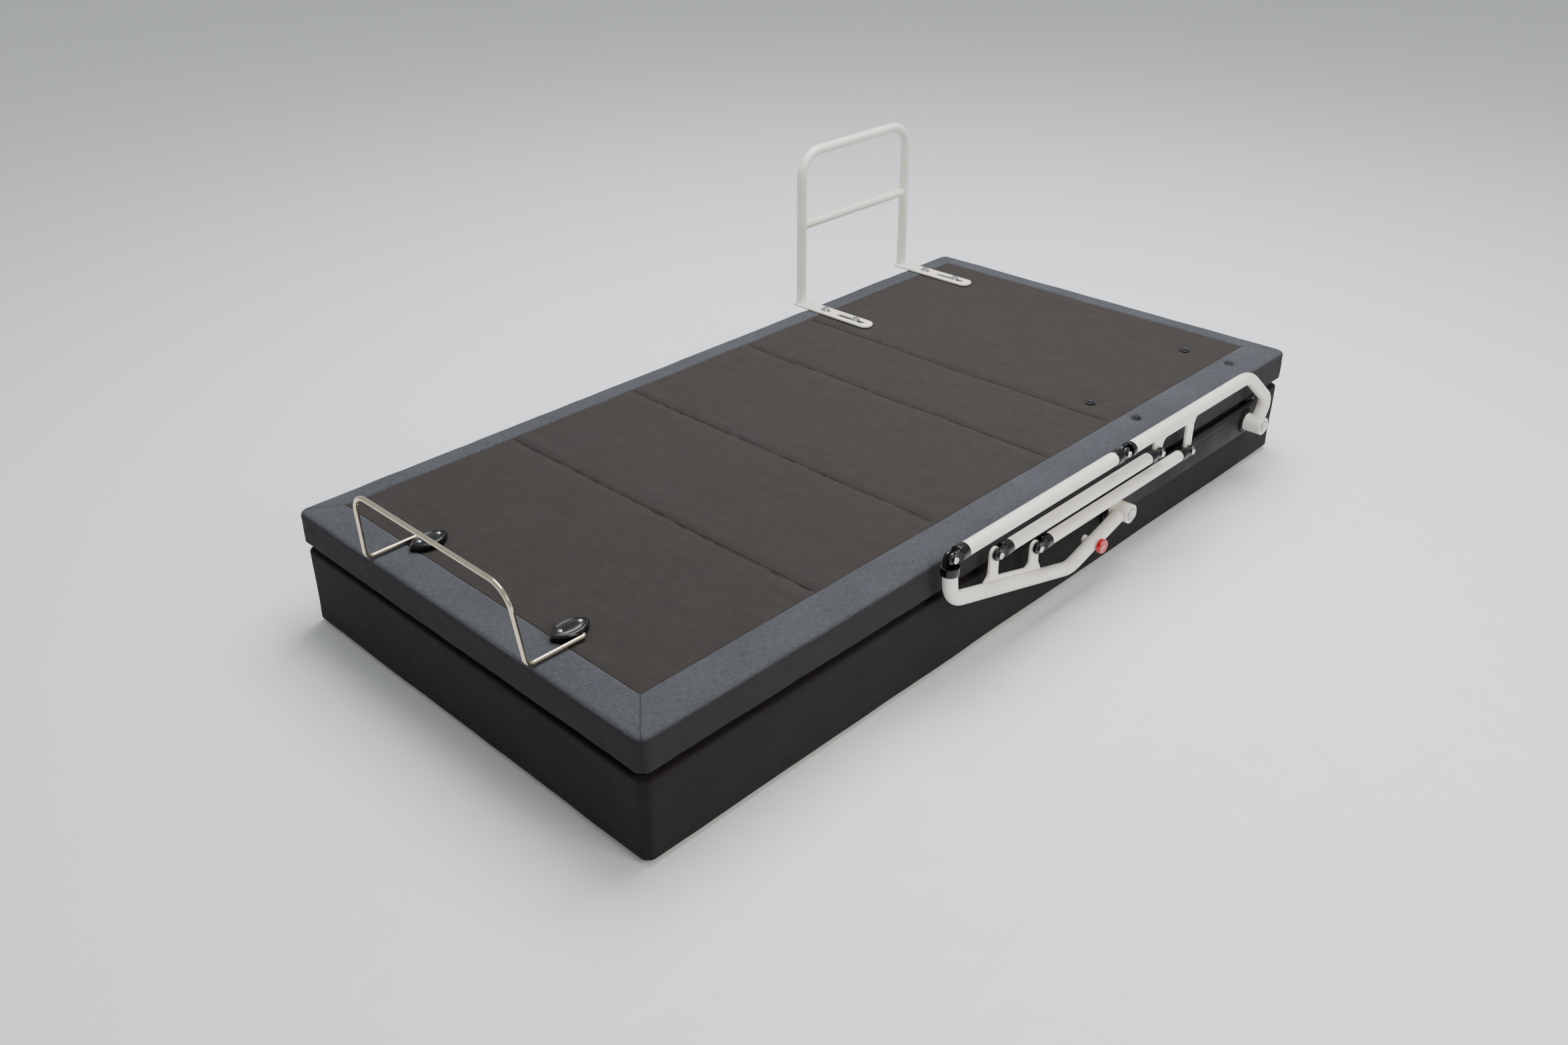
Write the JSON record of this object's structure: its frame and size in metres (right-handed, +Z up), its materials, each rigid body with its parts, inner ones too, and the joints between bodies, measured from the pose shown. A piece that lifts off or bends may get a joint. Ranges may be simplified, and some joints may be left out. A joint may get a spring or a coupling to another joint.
{
  "type": "adjustable bed base",
  "caption": "Upholstered adjustable bed base with tilting back, thigh and calf sections, folding side rail, assist handle and mattress retainer.",
  "frame": {"origin": "on the floor below the centre of the flat lying surface, at the middle glide's foot", "axes": "+X from the foot end to the head end, +Y to the side with the assist handle, +Z up"},
  "size_m": [2.0245, 1.105, 0.652],
  "materials": {
    "cover_fabric": "woven upholstery",
    "plywood": "plain",
    "black_steel": "powder coat",
    "zinc_steel": "zinc plated",
    "black_screw": "black oxide",
    "ivory_paint": "satin powder coat",
    "gloss_black": "moulded",
    "nickel": "nickel plated",
    "red_plastic": "moulded",
    "drive_plastic": "moulded",
    "drive_tube": "drawn",
    "steel_rod": "ground",
    "glide_plastic": "moulded"
  },
  "bodies": {
    "base": {"plinth_cover": "cover_fabric", "plinth_side_boards": "plywood", "plinth_end_boards": "plywood", "plinth_corner_blocks": "plywood", "floor_glides": "glide_plastic", "base_frame": "black_steel", "drive_brackets": "black_steel", "drive_pins": "zinc_steel", "seat_cover": "cover_fabric", "seat_board": "plywood", "seat_frame": "black_steel", "seat_hinge_pins": "zinc_steel", "control_box": "drive_plastic", "mains_inlet": "drive_plastic"},
    "thigh": {"thigh_cover": "cover_fabric", "thigh_board": "plywood", "thigh_frame": "black_steel", "knee_hinge_pins": "zinc_steel"},
    "calf": {"calf_cover": "cover_fabric", "calf_board": "plywood", "calf_frame": "black_steel", "retainer_clips": "gloss_black", "retainer_screws": "zinc_steel"},
    "retainer": {"mattress_retainer": "nickel"},
    "calf_link": {"calf_links": "black_steel"},
    "lumbar": {"lumbar_cover": "cover_fabric", "lumbar_board": "plywood", "lumbar_frame": "black_steel", "back_hinge_pins": "zinc_steel"},
    "back": {"back_cover": "cover_fabric", "back_board": "plywood", "back_frame": "black_steel", "assist_handle": "ivory_paint", "assist_foot_plates": "ivory_paint", "assist_bolts": "zinc_steel", "rail_carrier": "black_steel", "rail_carrier_bolts": "black_screw", "rail_pivot_bolts": "zinc_steel"},
    "head_drive": {"head_actuator_motor": "drive_plastic", "head_actuator_tube": "drive_tube"},
    "head_rod": {"head_actuator_rod": "steel_rod"},
    "foot_drive": {"foot_actuator_motor": "drive_plastic", "foot_actuator_tube": "drive_tube"},
    "foot_rod": {"foot_actuator_rod": "steel_rod"},
    "foot_side_post": {"foot_post": "ivory_paint", "foot_post_ears": "ivory_paint", "foot_post_end": "gloss_black", "foot_post_pins": "zinc_steel"},
    "head_side_post": {"head_post": "ivory_paint", "head_post_ears": "ivory_paint", "head_post_end": "gloss_black", "head_post_pins": "zinc_steel"},
    "top_rail_body": {"top_rail": "ivory_paint", "top_rail_ends": "gloss_black"},
    "middle_rail_body": {"middle_rail": "ivory_paint", "middle_rail_ends": "gloss_black"},
    "low_rail_body": {"low_rail": "ivory_paint", "low_rail_ends": "gloss_black"},
    "knob": {"release_knob": "red_plastic", "lock_pin": "zinc_steel"}
  },
  "joints": [
    {"name": "lumbar_tilt", "type": "hinge", "parent": "base", "child": "lumbar", "pos_m": [0.17, 0, 0.232], "axis": [0, -1, 0], "range_deg": [0, 20]},
    {"name": "back_tilt", "type": "hinge", "parent": "lumbar", "child": "back", "pos_m": [0.393, 0, 0.232], "axis": [0, -1, 0], "range_deg": [0, 35]},
    {"name": "thigh_tilt", "type": "hinge", "parent": "base", "child": "thigh", "pos_m": [-0.195, 0, 0.232], "axis": [0, 1, 0], "range_deg": [0, 30]},
    {"name": "calf_tilt", "type": "hinge", "parent": "thigh", "child": "calf", "pos_m": [-0.525, 0, 0.186], "axis": [0, -1, 0], "range_deg": [0, 48.09]},
    {"name": "calf_link_turn", "type": "hinge", "parent": "base", "child": "calf_link", "pos_m": [-0.56, 0, 0.15], "axis": [0, 1, 0], "range_deg": [0, 36.63]},
    {"name": "head_drive_turn", "type": "hinge", "parent": "base", "child": "head_drive", "pos_m": [0, 0.07, 0.12], "axis": [0, -1, 0], "range_deg": [0, 13.54]},
    {"name": "head_rod_slide", "type": "slide", "parent": "head_drive", "child": "head_rod", "axis": [0.9972, 0, 0.0745], "range_m": [0, 0.07523]},
    {"name": "foot_drive_turn", "type": "hinge", "parent": "base", "child": "foot_drive", "pos_m": [0.15, -0.07, 0.118], "axis": [0, 1, 0], "range_deg": [0, 3.25]},
    {"name": "foot_rod_slide", "type": "slide", "parent": "foot_drive", "child": "foot_rod", "axis": [-0.9996, 0, 0.0269], "range_m": [0, 0.05098]},
    {"name": "retainer_flip", "type": "hinge", "parent": "calf", "child": "retainer", "pos_m": [-0.887, 0, 0.2585], "axis": [0, 1, 0], "range_deg": [0, 130]},
    {"name": "rail_fold", "type": "hinge", "parent": "back", "child": "foot_side_post", "pos_m": [0.266, -0.533, 0.136], "axis": [0, 1, 0], "range_deg": [0, 80]},
    {"name": "head_post_fold", "type": "hinge", "parent": "back", "child": "head_side_post", "pos_m": [0.821, -0.533, 0.136], "axis": [0, 1, 0], "range_deg": [0, 80]},
    {"name": "top_rail_turn", "type": "hinge", "parent": "foot_side_post", "child": "top_rail_body", "pos_m": [-0.312, -0.533, 0.278], "axis": [0, -1, 0], "range_deg": [0, 80]},
    {"name": "middle_rail_turn", "type": "hinge", "parent": "foot_side_post", "child": "middle_rail_body", "pos_m": [-0.174, -0.533, 0.227], "axis": [0, -1, 0], "range_deg": [0, 80]},
    {"name": "low_rail_turn", "type": "hinge", "parent": "foot_side_post", "child": "low_rail_body", "pos_m": [-0.043, -0.533, 0.184], "axis": [0, -1, 0], "range_deg": [0, 80]},
    {"name": "release_pull", "type": "slide", "parent": "foot_side_post", "child": "knob", "axis": [0, -1, 0], "range_m": [0, 0.01], "stiffness_N_per_m": 400, "springref_m": -0.004}
  ],
  "couplings": [
    {"joint": "lumbar_tilt", "follows": "back_tilt", "ratio": 0.57143},
    {"joint": "head_drive_turn", "follows": "back_tilt", "ratio": 0.38681},
    {"joint": "head_rod_slide", "follows": "back_tilt", "m_per_rad": 0.12314},
    {"joint": "calf_tilt", "follows": "thigh_tilt", "ratio": 1.603},
    {"joint": "calf_link_turn", "follows": "thigh_tilt", "ratio": 1.2211},
    {"joint": "foot_drive_turn", "follows": "thigh_tilt", "ratio": 0.10826},
    {"joint": "foot_rod_slide", "follows": "thigh_tilt", "m_per_rad": 0.097363},
    {"joint": "head_post_fold", "follows": "rail_fold", "ratio": 1},
    {"joint": "top_rail_turn", "follows": "rail_fold", "ratio": 1},
    {"joint": "middle_rail_turn", "follows": "rail_fold", "ratio": 1},
    {"joint": "low_rail_turn", "follows": "rail_fold", "ratio": 1}
  ]
}
